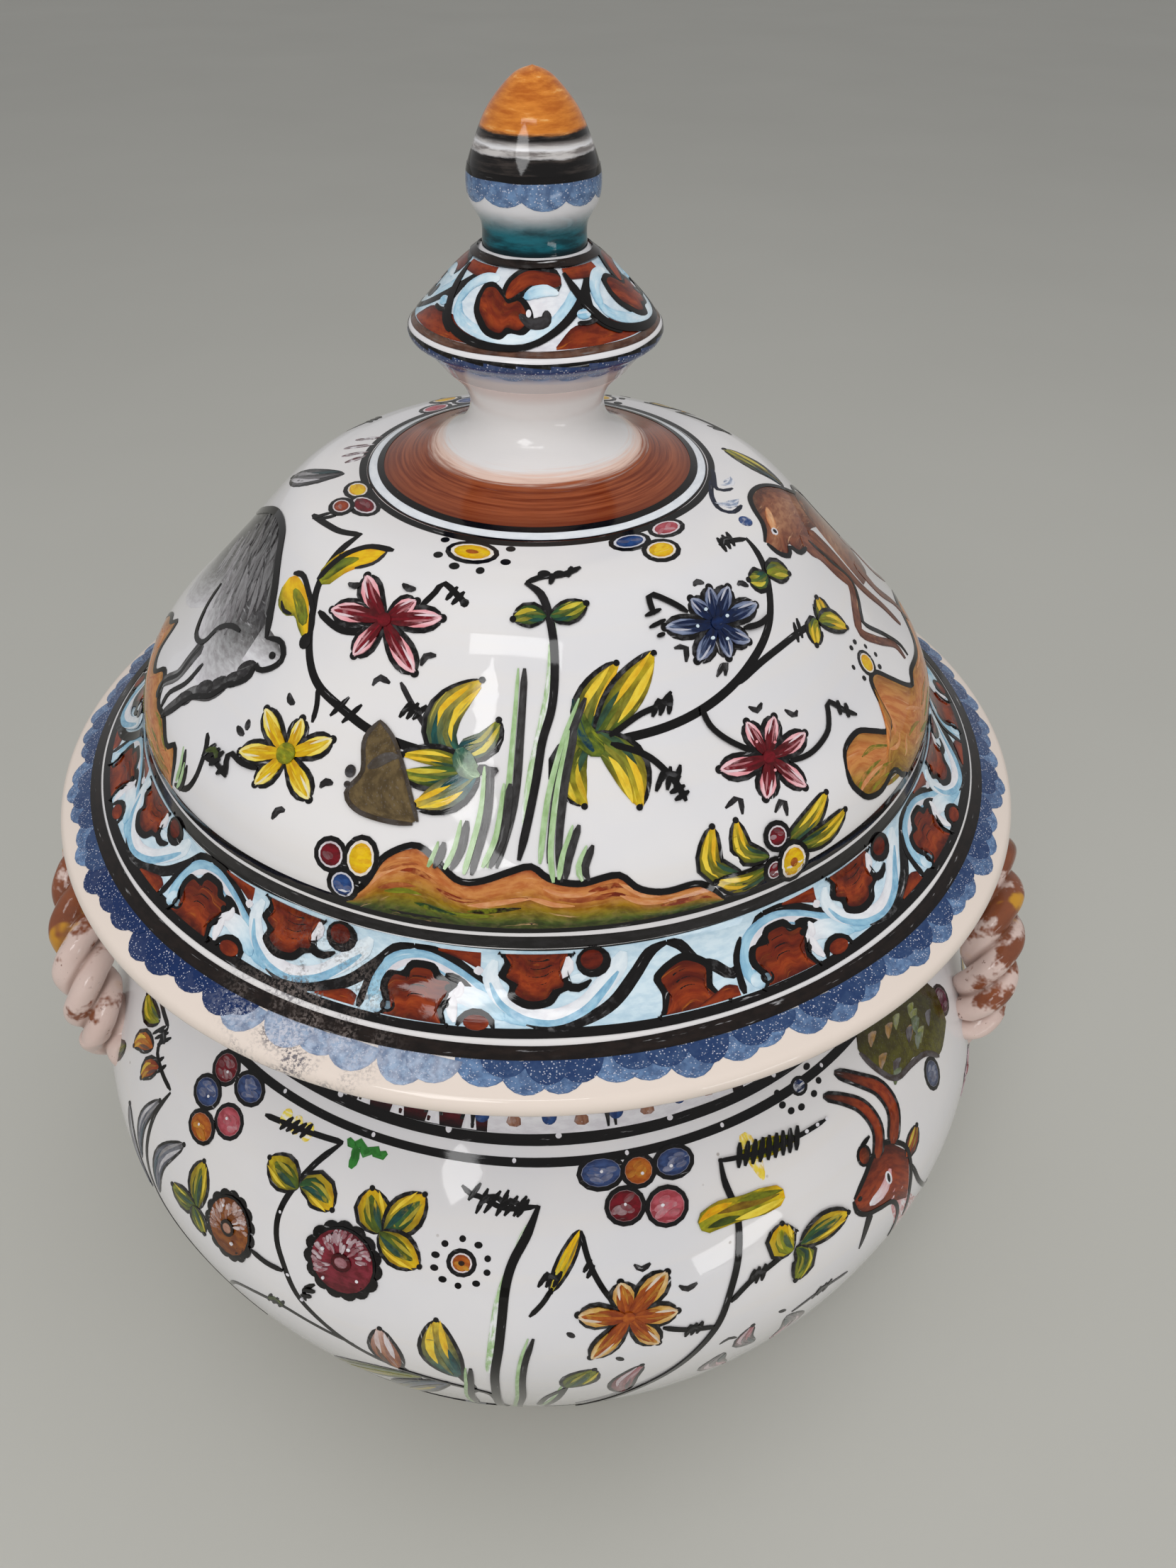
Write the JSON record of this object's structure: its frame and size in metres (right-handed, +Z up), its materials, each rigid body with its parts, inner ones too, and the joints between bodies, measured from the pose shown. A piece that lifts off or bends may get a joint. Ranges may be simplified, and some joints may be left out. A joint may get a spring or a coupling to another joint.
{
  "type": "lidded tureen",
  "caption": "Round glazed earthenware tureen with a lift-off domed lid, sloping brim, egg-shaped finial and twisted rope handles on a foot ring.",
  "frame": {"origin": "centre of the foot ring's standing face", "axes": "+Z up along the pot's axis; +X towards the right handle; -Y towards the front"},
  "size_m": [0.2662, 0.2556, 0.3265],
  "materials": {
    "white_glaze": "white tin glaze, brush painted, glossy",
    "cream_glaze": "thin cream glaze over clay",
    "bare_clay": "unglazed fired clay",
    "rope_glaze": "pinkish white glaze mottled with rust and yellow",
    "sienna_glaze": "sienna glaze banded on the wheel, fading to white",
    "scroll_glaze": "painted scrolls in sky blue, black and rust",
    "bud_glaze": "orange, black, blue and teal bands",
    "painted_enamel": "brush painted enamel under a clear glaze"
  },
  "bodies": {
    "pot": {"bowl": "white_glaze", "shoulder": "white_glaze", "neck": "white_glaze", "foot_ring": "bare_clay", "right_handle": "rope_glaze", "left_handle": "rope_glaze"},
    "lid": {"lid_dome": "white_glaze", "lid_ring": "cream_glaze", "finial_stem": "sienna_glaze", "finial_disc": "scroll_glaze", "finial_bud": "bud_glaze"}
  },
  "joints": [
    {"name": "lid_lift", "type": "slide", "parent": "pot", "child": "lid", "axis": [0, 0, 1], "range_m": [0, 0.08]}
  ]
}
